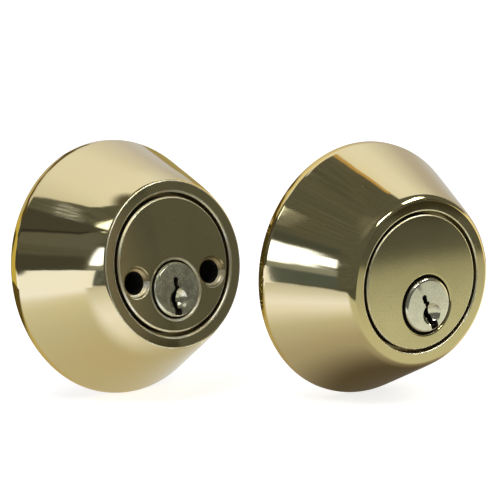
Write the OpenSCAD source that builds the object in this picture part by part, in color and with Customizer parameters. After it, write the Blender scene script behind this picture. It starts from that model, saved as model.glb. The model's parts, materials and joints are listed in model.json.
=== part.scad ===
// Double cylinder deadbolt lock: the outside half and the inside half of one set, for a key on both sides of a door.
//
// Every piece is drawn in the lock frame of its half: the door is at z = 0, the front faces +Z and +Y is up.
// outside_place() and inside_place() then set the two halves side by side.
// The pin stacks stand at the shear line, as the right key holds them, so the plugs are free to turn.

/* [Collar] */
// Diameter of the rim that lies on the door
rim_d = 65; // [60:0.5:78]
// Straight height of the rim
rim_h = 2; // [1:0.1:3]
// Rounding of the rim's outer corners
rim_round = 0.7; // [0.3:0.1:0.9]
// Distance from the door to the front ring
collar_h = 25.6; // [20:0.1:32]
// Wall of the collar
collar_wall = 1.6; // [1.2:0.1:2.2]
// Width of the flat front ring
ring_w = 4; // [3:0.1:6]
// Rounding between the cone and the front ring
nose_round = 0.8; // [0.3:0.1:1.2]
// Thickness of the ledge that carries the face disc
ledge_t = 2; // [1:0.1:3]

/* [Cylinder body] */
// Diameter of the face disc
face_d = 35; // [32:0.5:43]
// Thickness of the face disc
face_t = 3; // [2:0.1:4]
// Rounding of the face disc's edge
face_round = 0.5; // [0.2:0.1:0.8]
// Radial groove between the face disc and the front ring
groove_w = 0.5; // [0.3:0.05:1]
// Width of the band where the face disc sits on the ledge
seat_w = 0.8; // [0.5:0.1:1.2]
// Length of the spigot that centres the collar
spigot_t = 3; // [2:0.1:4]
// Radial clearance of the spigot in the collar
spigot_gap = 0.15; // [0.05:0.05:0.4]
// Wall of the shell around the plug
shell_wall = 2.2; // [1.6:0.1:3]
// Width of the block that holds the pin chambers
block_w = 7.2; // [6:0.1:9]
// Wall behind the last pin chamber
back_wall = 1.9; // [1.2:0.1:3]

/* [Plug] */
// Diameter of the plug
plug_d = 12.7; // [11:0.1:15.4]
// Distance from the centre of the face disc down to the plug's axis
plug_drop = 6.4; // [5:0.1:7]
// Radial clearance of the plug in its bore
plug_gap = 0.05; // [0.02:0.01:0.1]
// Height that the plug's head stands out from its body all round
head_lip = 0.85; // [0.5:0.05:1.2]
// Thickness of the plug's head
head_t = 2; // [1.5:0.1:2.6]
// Height of the plug's face above the face disc
head_proud = 0.7; // [0.3:0.1:1.2]
// Bevel of the plug's face
head_bevel = 0.6; // [0.1:0.1:0.8]
// Radial gap around the plug's head
head_gap = 0.3; // [0.1:0.05:0.5]
// End play of the plug
plug_play = 0.05; // [0.02:0.01:0.1]
// Width of each step of the keyway
keyway_w = 1.15; // [0.9:0.05:1.5]
// Sideways shift from one step of the keyway to the next
ward_shift = 0.5; // [0.2:0.05:0.8]

/* [Pins] */
// Number of pin chambers
pin_count = 5; // [4:1:6]
// Distance from one pin to the next
pin_pitch = 3.81; // [3.5:0.01:4.2]
// Diameter of the pins
pin_d = 2.9; // [2.4:0.1:3.2]
// Radial clearance of a pin in its chamber
pin_gap = 0.05; // [0.02:0.01:0.1]
// Wall in front of the first pin chamber
pin_wall = 0.5; // [0.4:0.1:1]
// Length of the driver pins
driver_l = 4.4; // [3.6:0.1:5.4]
// Length of the pin springs as fitted
spring_l = 6; // [5:0.1:8]
// Height of the chamber floor in the plug, from the plug's axis
floor_y = -0.9; // [-1.5:0.1:0]
// Thickness of the strip that closes the chambers
cover_t = 0.6; // [0.4:0.1:1]
// Width of that strip
cover_w = 5; // [4:0.1:5.6]
// Wire diameter of the springs
wire_d = 0.34; // [0.2:0.02:0.5]

/* [Plug cap and tailpiece] */
// Diameter of the plug's threaded tail
tail_d = 11.2; // [10:0.1:12]
// Length of the plug's tail
tail_l = 3.5; // [2.5:0.1:5]
// Outer diameter of the plug cap
cap_d = 16.4; // [15:0.1:19]
// Thickness of the cap's back wall
cap_t = 1; // [0.8:0.1:1.6]
// Radial clearance of the cap on the tail
cap_gap = 0.05; // [0.02:0.01:0.1]
// Diameter of the cap pin
cap_pin_d = 1.2; // [1:0.1:1.4]
// Thickness of the tailpiece's head plate
plate_t = 1; // [0.8:0.1:1.6]
// Width of the tailpiece's blade
blade_w = 6; // [4:0.1:6.4]
// Thickness of the tailpiece's blade
blade_t = 1.6; // [1:0.1:2]
// Distance that the tailpiece reaches behind the door's face
blade_reach = 30; // [20:0.5:34]

/* [Screws] */
// Distance from the edge of the face disc to the centre of a screw hole
screw_edge = 5; // [4.6:0.1:6]
// Distance from the centre of the face disc down to the screw holes
screw_drop = 3.3; // [2:0.1:4]
// Diameter of the clearance holes in the inside half
screw_hole_d = 6; // [5:0.1:6.4]
// Diameter of the pockets for the screw heads
pocket_d = 8.2; // [7:0.1:8.6]
// Straight depth of a pocket
pocket_t = 0.8; // [0.5:0.1:1.5]
// Depth of the cone below it
pocket_cone = 0.5; // [0.3:0.1:1.4]
// Outer diameter of the screw tubes of the inside half
tube_d = 8; // [7:0.1:8.4]
// Distance from the door's face to the end of the screw tubes
tube_end = 2; // [0:0.1:6]
// Outer diameter of the screw posts of the outside half
post_d = 6.4; // [6:0.1:8]
// Tapping diameter of the screw posts
post_hole_d = 4.2; // [3.2:0.1:4.5]
// Depth of the thread in the screw posts
post_hole_l = 16; // [8:0.5:22]
// Distance that the screw posts reach behind the door's face
post_reach = 6; // [0:0.5:10]

/* [Placing] */
// Turn of the outside half about its own axis, anticlockwise from the front
outside_roll = 17.3; // [-30:0.1:30]
// Backward lean of the inside half
inside_lean = 10.1; // [0:0.1:15]
// Turn of the inside half about the vertical
inside_turn = 1.5; // [-10:0.1:10]
// Place of the inside half to the side of the outside half
inside_x = -48.7; // [-120:0.1:-40]
// Place of the inside half behind the outside half
inside_y = 40.1; // [35:0.1:80]

/* [Hidden] */
$fn = 96;
eps = 0.01;                       // cutters run this far past the faces that they open

rim_r = rim_d / 2;
face_r = face_d / 2;
opening_r = face_r + groove_w;    // front opening of the collar
nose_r = opening_r + ring_w;      // where the cone would meet the front ring
ledge_r = face_r - seat_w;        // hole in the collar's ledge
seat_z = collar_h - face_t;       // back of the face disc, on the ledge
spigot_r = ledge_r - spigot_gap;
spigot_z = seat_z - spigot_t;
cone_tilt = atan((rim_r - nose_r) / (collar_h - rim_h));
wall_across = collar_wall / cos(cone_tilt);

plug_r = plug_d / 2;
bore_r = plug_r + plug_gap;
head_r = plug_r + head_lip;
face_z = collar_h;
head_z = face_z + head_proud;
shoulder_z = head_z - head_t;

pin_r = pin_d / 2;
chamber_r = pin_r + pin_gap;
first_pin_z = spigot_z - pin_wall - chamber_r;
last_pin_z = first_pin_z - (pin_count - 1) * pin_pitch;
body_z = last_pin_z - chamber_r - back_wall;   // back face of the cylinder body
cap_z = body_z - plug_play;
tail_z = cap_z - tail_l;
plate_z = tail_z - plate_t;
chamber_top = bore_r + driver_l + spring_l;    // above the plug's axis
block_top = chamber_top + cover_t;
cover_gap = 0.05;                              // beside the cover strip

key_pin_lengths = [4.2, 5, 3.8, 4.6, 4, 4.4];  // one for each cut of the key, front to back
shear_gap = 0.02;                              // between a pin and the shear line
key_pin_top = sqrt(plug_r * plug_r - pin_r * pin_r) - shear_gap;
pin_tip_h = 0.7;                               // cone at a key pin's lower end
pin_tip_r = 0.7;
pin_edge = 0.2;                                // bevel of a driver pin

keyway_top = 3.1;                              // heights of the keyway's steps, from the plug's axis
keyway_steps = [keyway_top, -0.9, -3.7, -plug_d];
keyway_back = cap_z + 1;                       // solid web between the keyway and the tail
lead_in_r = 3.3;                               // dish that guides the key in
lead_in_rise = 1.8;
lead_in_at = [0.35, -2.6];

screw_ring_r = face_r - screw_edge;
screw_x = sqrt(screw_ring_r * screw_ring_r - screw_drop * screw_drop);

cap_pin_r = cap_pin_d / 2;
cap_pin_gap = 0.05;
cap_pin_wall = 0.55;                           // of the plug's tail outside the cap pin
cap_pin_y = tail_d / 2 - cap_pin_r - cap_pin_gap - cap_pin_wall;
cap_pin_web = 0.4;                             // of the cap's back wall behind the cap pin
cap_pin_nose = cap_t - cap_pin_web;            // reach of the cap pin into the cap's back wall
cap_pin_back = 1.4;                            // reach of the cap pin into the plug's tail
cap_pin_hole = 3;                              // depth of its hole there
plate_edge = 0.6;                              // the head plate is this much smaller than the tail
plate_r = tail_d / 2 - plate_edge;
plate_notch_gap = 0.3;                         // around the cap pin
blade_clear = 0.2;
cap_hole_r = norm([blade_w, blade_t]) / 2 + blade_clear;
blade_point = 1.2;                             // bevel at the blade's tip

spring_turns = 5;
cap_spring_turns = 3;
spring_steps = 10;                             // rings for each turn of a coil
spring_sides = 5;

brass = [0.78, 0.70, 0.45];
satin = [0.60, 0.54, 0.34];
nickel = [0.74, 0.72, 0.64];
steel = [0.55, 0.56, 0.58];
pin_brass = [0.80, 0.62, 0.30];

HALVES = ["outside", "inside"];
PINS = [for (half = HALVES, piece = ["key_pin", "driver_pin", "pin_spring"], i = [1 : pin_count])
    str(half, "_", piece, "_", i)];

// ---- helpers ----

function unit(v) = v / norm(v);

// Points of an arc of radius r that rounds the corner b between a and c
function rounded(a, b, c, r, steps = 5) =
    let (u = unit(a - b), v = unit(c - b), half = acos(u * v) / 2, sweep = 180 - 2 * half,
         centre = b + unit(u + v) * r / sin(half),
         p = b + u * r / tan(half) - centre, q = b + v * r / tan(half) - centre)
    [for (i = [0 : steps]) centre + (p * sin(sweep * (1 - i / steps)) + q * sin(sweep * i / steps)) / sin(sweep)];

// Upright coil with its ends at 0 and length
module coil(coil_r, wire_r, length, turns) {
    rings = turns * spring_steps;
    points = [for (i = [0 : rings], k = [0 : spring_sides - 1])
        let (a = 360 * i / spring_steps, b = 360 * k / spring_sides, out = coil_r + wire_r * cos(b))
        [out * cos(a), out * sin(a), wire_r + (length - 2 * wire_r) * i / rings + wire_r * sin(b)]];
    sides = [for (i = [0 : rings - 1], k = [0 : spring_sides - 1], half = [0, 1])
        let (n = (k + 1) % spring_sides, low = i * spring_sides, high = low + spring_sides)
        half == 0 ? [low + k, low + n, high + n] : [low + k, high + n, high + k]];
    last = rings * spring_sides;
    ends = [for (k = [1 : spring_sides - 2], half = [0, 1])
        half == 0 ? [0, k + 1, k] : [last, last + k, last + k + 1]];
    polyhedron(points, concat(sides, ends));
}

module outside_place() rotate([90, 0, 0]) rotate([0, 0, outside_roll]) children();

// The drop keeps both rims on one floor when the inside half leans back
module inside_place()
    translate([inside_x, inside_y, -rim_r * (1 - cos(inside_lean))])
        rotate([0, 0, inside_turn]) rotate([90 - inside_lean, 0, 0]) children();

module at_plug() translate([0, -plug_drop, 0]) children();

function pin_z(i) = first_pin_z - (i - 1) * pin_pitch;

// Pin i of the row, standing on the plug's axis with +Z up the chamber
module at_pin(i) at_plug() translate([0, 0, pin_z(i)]) rotate([-90, 0, 0]) children();

module at_screws() for (side = [-1, 1]) translate([side * screw_x, -screw_drop, 0]) children();

// ---- pieces of a half ----

module collar() {
    rim_back = [rim_r, 0];
    rim_front = [rim_r, rim_h];
    nose = [nose_r, collar_h];
    inner_rim = [rim_r - collar_wall, 0];
    inner_bend = [rim_r - wall_across, rim_h];
    inner_top = [inner_bend.x - (seat_z - ledge_t - rim_h) * tan(cone_tilt), seat_z - ledge_t];
    rotate_extrude() polygon(concat(
        [inner_rim],
        rounded(inner_rim, rim_back, rim_front, rim_round),
        rounded(rim_back, rim_front, nose, rim_round),
        rounded(rim_front, nose, [opening_r, collar_h], nose_round),
        [[opening_r, collar_h], [opening_r, seat_z], [ledge_r, seat_z], [ledge_r, seat_z - ledge_t],
         inner_top, inner_bend]));
}

module face_and_spigot() {
    edge = [face_r, face_z];
    rotate_extrude() polygon(concat(
        [[0, spigot_z], [spigot_r, spigot_z], [spigot_r, seat_z], [face_r, seat_z]],
        rounded([face_r, seat_z], edge, [0, face_z], face_round),
        [[0, face_z]]));
}

module chamber_block() {
    translate([-block_w / 2, -plug_drop, body_z]) cube([block_w, block_top, spigot_z - body_z + eps]);
    at_plug() translate([0, 0, body_z]) cylinder(r = bore_r + shell_wall, h = spigot_z - body_z + eps);
}

module body_cuts() {
    at_plug() {
        translate([0, 0, body_z - eps]) cylinder(r = bore_r, h = face_z - body_z + 2 * eps);
        translate([0, 0, shoulder_z - plug_play]) cylinder(r = head_r + head_gap, h = head_t + head_proud);
        translate([-cover_w / 2 - cover_gap, chamber_top, body_z - eps])
            cube([cover_w + 2 * cover_gap, cover_t + eps, cover_l() + eps]);
    }
    for (i = [1 : pin_count]) at_pin(i) cylinder(r = chamber_r, h = block_top + eps);
}

function cover_l() = first_pin_z + chamber_r - body_z;

module outside_body() {
    difference() {
        union() {
            face_and_spigot();
            chamber_block();
            at_screws() translate([0, 0, -post_reach]) cylinder(d = post_d, h = spigot_z + post_reach + eps);
        }
        body_cuts();
        at_screws() translate([0, 0, -post_reach - eps]) cylinder(d = post_hole_d, h = post_hole_l + eps);
    }
}

module inside_body() {
    difference() {
        union() {
            face_and_spigot();
            chamber_block();
            at_screws() translate([0, 0, tube_end]) cylinder(d = tube_d, h = spigot_z - tube_end + eps);
        }
        body_cuts();
        at_screws() {
            translate([0, 0, tube_end - eps]) cylinder(d = screw_hole_d, h = face_z - tube_end + 2 * eps);
            translate([0, 0, face_z - pocket_t]) cylinder(d = pocket_d, h = pocket_t + eps);
            translate([0, 0, face_z - pocket_t - pocket_cone])
                cylinder(d1 = screw_hole_d, d2 = pocket_d, h = pocket_cone);
        }
    }
}

// Slot in three steps that shift from side to side, open at the plug's underside
module keyway_outline() {
    for (i = [0 : 2])
        translate([(i % 2 == 0 ? 0 : -ward_shift) - keyway_w / 2, keyway_steps[i + 1]])
            square([keyway_w, keyway_steps[i] - keyway_steps[i + 1]]);
    translate([0, keyway_top]) circle(d = keyway_w);
}

module plug() at_plug() {
    difference() {
        rotate_extrude() polygon([
            [0, tail_z], [tail_d / 2, tail_z], [tail_d / 2, cap_z], [plug_r, cap_z], [plug_r, shoulder_z],
            [head_r, shoulder_z], [head_r, head_z - head_bevel], [head_r - head_bevel, head_z], [0, head_z]]);
        translate([0, 0, keyway_back]) linear_extrude(head_z - keyway_back + eps) keyway_outline();
        translate([lead_in_at.x, lead_in_at.y, head_z + lead_in_rise]) sphere(lead_in_r);
        translate([0, cap_pin_y, tail_z - eps]) cylinder(r = cap_pin_r + cap_pin_gap, h = cap_pin_hole + eps);
        for (i = [1 : pin_count])
            translate([0, floor_y, pin_z(i)]) rotate([-90, 0, 0]) cylinder(r = chamber_r, h = plug_d);
    }
}

module plug_cap() at_plug() {
    cap_back = plate_z - cap_t;
    difference() {
        translate([0, 0, cap_back]) cylinder(d = cap_d, h = cap_z - cap_back);
        translate([0, 0, plate_z]) cylinder(r = tail_d / 2 + cap_gap, h = cap_z - plate_z + eps);
        translate([0, 0, cap_back - eps]) cylinder(r = cap_hole_r, h = cap_t + 2 * eps);
        translate([0, cap_pin_y, plate_z - cap_pin_nose]) cylinder(r = cap_pin_r + cap_pin_gap, h = cap_t);
    }
}

module cap_pin() at_plug() translate([0, cap_pin_y, plate_z - cap_pin_nose])
    cylinder(r = cap_pin_r, h = cap_pin_nose + plate_t + cap_pin_back);

module cap_pin_spring() at_plug() translate([0, cap_pin_y, tail_z + cap_pin_back])
    coil(cap_pin_r - wire_d / 2, wire_d / 2, cap_pin_hole - cap_pin_back, cap_spring_turns);

module tailpiece() at_plug() {
    difference() {
        translate([0, 0, plate_z]) cylinder(r = plate_r, h = plate_t);
        translate([0, cap_pin_y, plate_z - eps])
            cylinder(r = cap_pin_r + plate_notch_gap, h = plate_t + 2 * eps);
    }
    rotate([90, 0, 0]) translate([0, 0, -blade_t / 2]) linear_extrude(blade_t) polygon([
        [-blade_w / 2, plate_z + eps], [-blade_w / 2, blade_point - blade_reach],
        [blade_point - blade_w / 2, -blade_reach], [blade_w / 2 - blade_point, -blade_reach],
        [blade_w / 2, blade_point - blade_reach], [blade_w / 2, plate_z + eps]]);
}

module chamber_cover() at_plug() translate([-cover_w / 2, chamber_top, body_z])
    cube([cover_w, cover_t, cover_l() - cover_gap]);

module key_pin(i) at_pin(i) {
    top = key_pin_top;
    low = top - key_pin_lengths[i - 1];
    rotate_extrude() polygon([[0, low], [pin_tip_r, low], [pin_r, low + pin_tip_h], [pin_r, top], [0, top]]);
}

module driver_pin(i) at_pin(i) {
    low = bore_r;
    top = low + driver_l;
    rotate_extrude() polygon([[0, low], [pin_r - pin_edge, low], [pin_r, low + pin_edge],
        [pin_r, top - pin_edge], [pin_r - pin_edge, top], [0, top]]);
}

module pin_spring(i) at_pin(i) translate([0, 0, bore_r + driver_l])
    coil(pin_r - wire_d, wire_d / 2, spring_l, spring_turns);

// ---- the outside half ----

module outside_collar() color(brass) outside_place() collar();
module outside_cylinder_body() color(satin) outside_place() outside_body();
module outside_plug() color(nickel) outside_place() plug();
module outside_plug_cap() color(pin_brass) outside_place() plug_cap();
module outside_cap_pin() color(steel) outside_place() cap_pin();
module outside_cap_pin_spring() color(steel) outside_place() cap_pin_spring();
module outside_tailpiece() color(steel) outside_place() tailpiece();
module outside_chamber_cover() color(pin_brass) outside_place() chamber_cover();
module outside_key_pin(i) color(pin_brass) outside_place() key_pin(i);
module outside_driver_pin(i) color(pin_brass) outside_place() driver_pin(i);
module outside_pin_spring(i) color(steel) outside_place() pin_spring(i);

// ---- the inside half ----

module inside_collar() color(brass) inside_place() collar();
module inside_cylinder_body() color(satin) inside_place() inside_body();
module inside_plug() color(nickel) inside_place() plug();
module inside_plug_cap() color(pin_brass) inside_place() plug_cap();
module inside_cap_pin() color(steel) inside_place() cap_pin();
module inside_cap_pin_spring() color(steel) inside_place() cap_pin_spring();
module inside_tailpiece() color(steel) inside_place() tailpiece();
module inside_chamber_cover() color(pin_brass) inside_place() chamber_cover();
module inside_key_pin(i) color(pin_brass) inside_place() key_pin(i);
module inside_driver_pin(i) color(pin_brass) inside_place() driver_pin(i);
module inside_pin_spring(i) color(steel) inside_place() pin_spring(i);

outside_collar();
outside_cylinder_body();
outside_plug();
outside_plug_cap();
outside_cap_pin();
outside_cap_pin_spring();
outside_tailpiece();
outside_chamber_cover();
inside_collar();
inside_cylinder_body();
inside_plug();
inside_plug_cap();
inside_cap_pin();
inside_cap_pin_spring();
inside_tailpiece();
inside_chamber_cover();
for (i = [1 : pin_count]) {
    outside_key_pin(i);
    outside_driver_pin(i);
    outside_pin_spring(i);
    inside_key_pin(i);
    inside_driver_pin(i);
    inside_pin_spring(i);
}
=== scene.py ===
import json
import math

import bpy
from mathutils import Matrix, Vector


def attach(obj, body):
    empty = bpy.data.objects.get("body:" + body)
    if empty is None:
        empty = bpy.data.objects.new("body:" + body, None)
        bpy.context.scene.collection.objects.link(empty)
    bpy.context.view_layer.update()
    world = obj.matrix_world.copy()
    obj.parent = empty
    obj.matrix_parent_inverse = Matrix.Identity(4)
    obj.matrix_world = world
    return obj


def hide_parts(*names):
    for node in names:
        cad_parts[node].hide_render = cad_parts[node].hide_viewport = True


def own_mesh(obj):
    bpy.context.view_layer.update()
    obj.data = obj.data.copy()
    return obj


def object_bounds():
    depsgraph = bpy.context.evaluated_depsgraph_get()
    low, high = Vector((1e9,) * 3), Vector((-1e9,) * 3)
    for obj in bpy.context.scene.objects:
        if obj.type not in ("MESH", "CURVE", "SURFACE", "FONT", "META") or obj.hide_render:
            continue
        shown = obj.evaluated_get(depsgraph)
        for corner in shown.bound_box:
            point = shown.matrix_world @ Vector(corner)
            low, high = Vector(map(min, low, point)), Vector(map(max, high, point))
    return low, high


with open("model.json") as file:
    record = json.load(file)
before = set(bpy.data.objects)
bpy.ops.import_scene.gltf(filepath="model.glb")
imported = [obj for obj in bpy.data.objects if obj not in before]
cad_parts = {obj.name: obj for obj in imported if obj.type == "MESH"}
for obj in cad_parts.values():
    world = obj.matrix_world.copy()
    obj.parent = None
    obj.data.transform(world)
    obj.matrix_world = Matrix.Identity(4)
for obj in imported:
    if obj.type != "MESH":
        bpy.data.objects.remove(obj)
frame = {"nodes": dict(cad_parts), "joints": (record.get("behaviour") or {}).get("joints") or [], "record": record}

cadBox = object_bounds()
mm = 0.001
joints = {joint["name"]: joint for joint in frame["joints"]}
mounts = {mount["name"]: mount for mount in frame["record"]["mounts"]}
sides = ("outside", "inside")
print("frame loaded:", len(frame["nodes"]), "nodes")


# Each half has its own axes: origin at its door face, front along +Z and top along +Y
def halfMatrix(side):
    front = Vector(joints[side + "_plug_turn"]["axis"]).normalized()
    top = Vector(joints[side + "_key_pin_1_drop"]["axis"]).normalized()
    right = top.cross(front).normalized()
    turn = Matrix((right, front.cross(right), front)).transposed()
    return Matrix.Translation(mounts[side + "_door_face"]["pos_m"]) @ turn.to_4x4()


halves = {side: halfMatrix(side) for side in sides}


# A CAD node's lowest and highest corners in its half's axes
def localBox(side, node):
    back = halves[side].inverted()
    corners = [back @ vertex.co for vertex in frame["nodes"][side + "_" + node].data.vertices]
    low = Vector([min(corner[axis] for corner in corners) for axis in range(3)])
    high = Vector([max(corner[axis] for corner in corners) for axis in range(3)])
    return low, high


collarHigh = localBox("outside", "collar")[1]
plugHigh = localBox("outside", "plug")[1]
bodyLow = localBox("inside", "cylinder_body")[0]
plugAxis = halves["outside"].inverted() @ Vector(joints["outside_plug_turn"]["pos_m"])
screwCentre = halves["outside"].inverted() @ Vector(mounts["outside_screw_posts"]["pos_m"])

# what the CAD fixes, in millimetres
size = {
    "rim": collarHigh.x / mm,  # radius at the door
    "front": collarHigh.z / mm,
    "plugFace": plugHigh.z / mm,
    "plugDrop": plugAxis.y / mm,  # below the half's axis, so it is negative
    "bodyBack": bodyLow.z / mm,
    "screwX": mounts["outside_screw_posts"]["dims"]["pcd_mm"] / 2,
    "screwY": screwCentre.y / mm,
}
plugAt = (0, size["plugDrop"])
screwsAt = [(sign * size["screwX"], size["screwY"]) for sign in (-1, 1)]
past = 1.0  # how far a cutter runs out of the metal


def clearSelection():
    if bpy.context.object and bpy.context.object.mode != "OBJECT":
        bpy.ops.object.mode_set(mode="OBJECT")
    bpy.ops.object.select_all(action="DESELECT")


def pick(piece):
    clearSelection()
    piece.select_set(True)
    bpy.context.view_layer.objects.active = piece


def applyPlace():
    bpy.ops.object.transform_apply(location=True, rotation=True, scale=True)


# A corner is (radius, height) or (radius, height, rounding); a rounded corner becomes an arc
# with a point every few degrees
def rounded(corners, closed, step):
    points = []
    count = len(corners)
    for index, corner in enumerate(corners):
        here = Vector(corner[:2])
        if len(corner) < 3 or not closed and index in (0, count - 1):
            points.append(here)
            continue
        back = (Vector(corners[index - 1][:2]) - here).normalized()
        ahead = (Vector(corners[(index + 1) % count][:2]) - here).normalized()
        half = back.angle(ahead) / 2
        turn = math.pi - 2 * half
        centre = here + (back + ahead).normalized() * corner[2] / math.sin(half)
        start = here + back * corner[2] / math.tan(half) - centre
        end = here + ahead * corner[2] / math.tan(half) - centre
        steps = max(2, round(math.degrees(turn) / step))
        for part in range(steps + 1):
            share = part / steps
            arm = start * math.sin(turn * (1 - share)) + end * math.sin(turn * share)
            points.append(centre + arm / math.sin(turn))
    return points


# A piece turned on a lathe about +Z: a disc or ring that is extruded and resized along its
# outline. A closed outline makes a ring; an open one starts and ends in a filled face.
def turned(name, corners, closed=False, segments=192, centre=(0, 0), step=8):
    thinnest = 0.02  # what ends on the axis closes to this radius
    points = [Vector((max(point.x, thinnest), point.y)) for point in rounded(corners, closed, step)]
    ahead = points[1:] + points[:1] if closed else points[1:]
    x = centre[0] * mm
    y = centre[1] * mm
    clearSelection()
    bpy.ops.mesh.primitive_circle_add(vertices=segments, radius=points[0].x * mm,
        fill_type="NOTHING" if closed else "TRIFAN", location=(x, y, points[0].y * mm),
        enter_editmode=True)
    piece = bpy.context.object
    piece.name = name
    for last, point in zip(points, ahead):
        rise = (point.y - last.y) * mm
        share = point.x / last.x
        bpy.ops.mesh.extrude_region_move(TRANSFORM_OT_translate={"value": (0, 0, rise)})
        bpy.ops.transform.resize(value=(share, share, 1), center_override=(x, y, point.y * mm))
    bpy.ops.mesh.select_all(action="SELECT")
    bpy.ops.mesh.remove_doubles(threshold=0.0005 * mm)
    bpy.ops.mesh.normals_make_consistent(inside=False)
    bpy.ops.object.mode_set(mode="OBJECT")
    applyPlace()
    return piece


# A solid rod, or one with its two edges rounded
def rod(name, radius, low, high, centre, edge=0.0, segments=64):
    rounding = (edge,) if edge else ()
    corners = [(0, low), (radius, low, *rounding), (radius, high, *rounding), (0, high)]
    return turned(name, corners, segments=segments, centre=centre)


# A block between two corners, with its edges bevelled
def block(name, low, high, bevel=0.0, segments=2):
    middle = [(a + b) / 2 * mm for a, b in zip(low, high)]
    span = [(b - a) * mm for a, b in zip(low, high)]
    clearSelection()
    bpy.ops.mesh.primitive_cube_add(size=1, location=middle, enter_editmode=True)
    piece = bpy.context.object
    piece.name = name
    bpy.ops.transform.resize(value=span, center_override=middle)
    if bevel:
        bpy.ops.mesh.bevel(offset=bevel * mm, segments=segments, affect="EDGES")
    bpy.ops.object.mode_set(mode="OBJECT")
    applyPlace()
    return piece


def boolean(piece, tool, operation):
    pick(piece)
    change = piece.modifiers.new("change", "BOOLEAN")
    change.operation = operation
    change.solver = "EXACT"
    change.object = tool
    bpy.ops.object.modifier_apply(modifier=change.name)
    bpy.data.objects.remove(tool)


def cut(piece, tool):
    boolean(piece, tool, "DIFFERENCE")


def join(piece, other):
    boolean(piece, other, "UNION")


# Lays a piece that was made about +Z up along +Y, at a place in millimetres
def layUp(piece, place):
    pick(piece)
    turn = Matrix.Rotation(math.radians(-90), 4, "X")
    piece.matrix_world = Matrix.Translation(Vector(place) * mm) @ turn
    applyPlace()


# Smooth curves with crisp edges, and flat faces that shade flat
def polish(piece, angle=28):
    pick(piece)
    bpy.ops.object.shade_smooth_by_angle(angle=math.radians(angle))
    weights = piece.modifiers.new("weights", "WEIGHTED_NORMAL")
    weights.keep_sharp = True
    bpy.ops.object.modifier_apply(modifier=weights.name)


# Puts a finished piece in its half's place, on its body, instead of its CAD node
def fit(piece, side, node, ridesOn, pieceFinishes):
    pick(piece)
    piece.matrix_world = halves[side]
    applyPlace()
    for finish in pieceFinishes:
        piece.data.materials.append(finish)
    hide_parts(side + "_" + node)
    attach(piece, ridesOn)


class Wire:  # a socket that Python's own signs work on
    def __init__(self, finish, socket):
        self.finish = finish
        self.socket = socket

    def __add__(self, other):
        return self.finish.math("ADD", self, other)

    def __sub__(self, other):
        return self.finish.math("SUBTRACT", self, other)

    def __rsub__(self, other):
        return self.finish.math("SUBTRACT", other, self)

    def __mul__(self, other):
        return self.finish.math("MULTIPLY", self, other)

    def __truediv__(self, other):
        return self.finish.math("DIVIDE", self, other)

    __radd__ = __add__
    __rmul__ = __mul__


class Finish:  # a material, or the world, being wired
    def __init__(self, owner):
        owner.use_nodes = True
        self.tree = owner.node_tree
        self.tree.nodes.clear()

    # output is one output's name or number, or several in a tuple
    def node(self, kind, settings=None, values=None, output=0):
        made = self.tree.nodes.new(kind)
        for name, value in (settings or {}).items():
            if name == "stops":
                ramp = made.color_ramp.elements
                while len(ramp) < len(value):
                    ramp.new(0.5)
                for element, (place, tone) in zip(ramp, value):
                    element.position = place
                    element.color = (*tone, 1)
            else:
                setattr(made, name, value)
        for name, value in (values or {}).items():
            socket = made.inputs[name]
            if isinstance(value, Wire):
                self.tree.links.new(value.socket, socket)
            else:
                socket.default_value = (*value, 1) if socket.type == "RGBA" else value
        if isinstance(output, tuple):
            return [Wire(self, made.outputs[name]) for name in output]
        return Wire(self, made.outputs[output]) if made.outputs else None

    def math(self, operation, first, second=0.0):
        return self.node("ShaderNodeMath", {"operation": operation}, {0: first, 1: second})

    # 0 to 1 as value goes from low to high
    def ease(self, value, low, high):
        return self.node("ShaderNodeMapRange", {"interpolation_type": "SMOOTHSTEP"},
            {"Value": value, "From Min": low, "From Max": high})

    # 1 inside low to high, with soft ends
    def band(self, value, low, high, soft):
        return self.ease(value, low - soft, low + soft) * (1 - self.ease(value, high - soft, high + soft))

    def blend(self, share, first, second):
        return self.node("ShaderNodeMix", {"data_type": "RGBA"}, {0: share, 6: first, 7: second}, 2)

    def tinted(self, first, second):
        settings = {"data_type": "RGBA", "blend_type": "MULTIPLY"}
        return self.node("ShaderNodeMix", settings, {0: 1.0, 6: first, 7: second}, 2)

    def ramp(self, stops, share):
        return self.node("ShaderNodeValToRGB", {"stops": stops}, {0: share})

    def place(self):
        return self.node("ShaderNodeTexCoord", {}, {}, "Object")

    def split(self, vector):
        return self.node("ShaderNodeSeparateXYZ", {}, {0: vector}, (0, 1, 2))

    def noise(self, place, scale, detail=2.0, stretch=None):
        if stretch:
            place = self.node("ShaderNodeVectorMath", {"operation": "MULTIPLY"}, {0: place, 1: stretch})
        return self.node("ShaderNodeTexNoise", {}, {"Vector": place, "Scale": scale, "Detail": detail})

    def bump(self, height, strength, distance):
        return self.node("ShaderNodeBump", {}, {"Height": height, "Strength": strength,
            "Distance": distance})

    def glow(self, tone, strength=1.0):
        return self.node("ShaderNodeEmission", {}, {"Color": tone, "Strength": strength})

    def metal(self, tint, rough, normal=None, metallic=1.0):
        values = {"Base Color": tint, "Metallic": metallic, "Roughness": rough}
        if normal:
            values["Normal"] = normal
        self.surface(self.node("ShaderNodeBsdfPrincipled", {}, values))

    def surface(self, shader):
        self.node("ShaderNodeOutputMaterial", {}, {"Surface": shader})


def newFinish(name):
    material = bpy.data.materials.new(name)
    return material, Finish(material)


# Object coordinates seen in a half's own axes
def halfPlace(finish, side):
    return finish.node("ShaderNodeMapping", {"vector_type": "TEXTURE"}, {"Vector": finish.place(),
        "Location": halves[side].to_translation(), "Rotation": halves[side].to_euler()})


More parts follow.
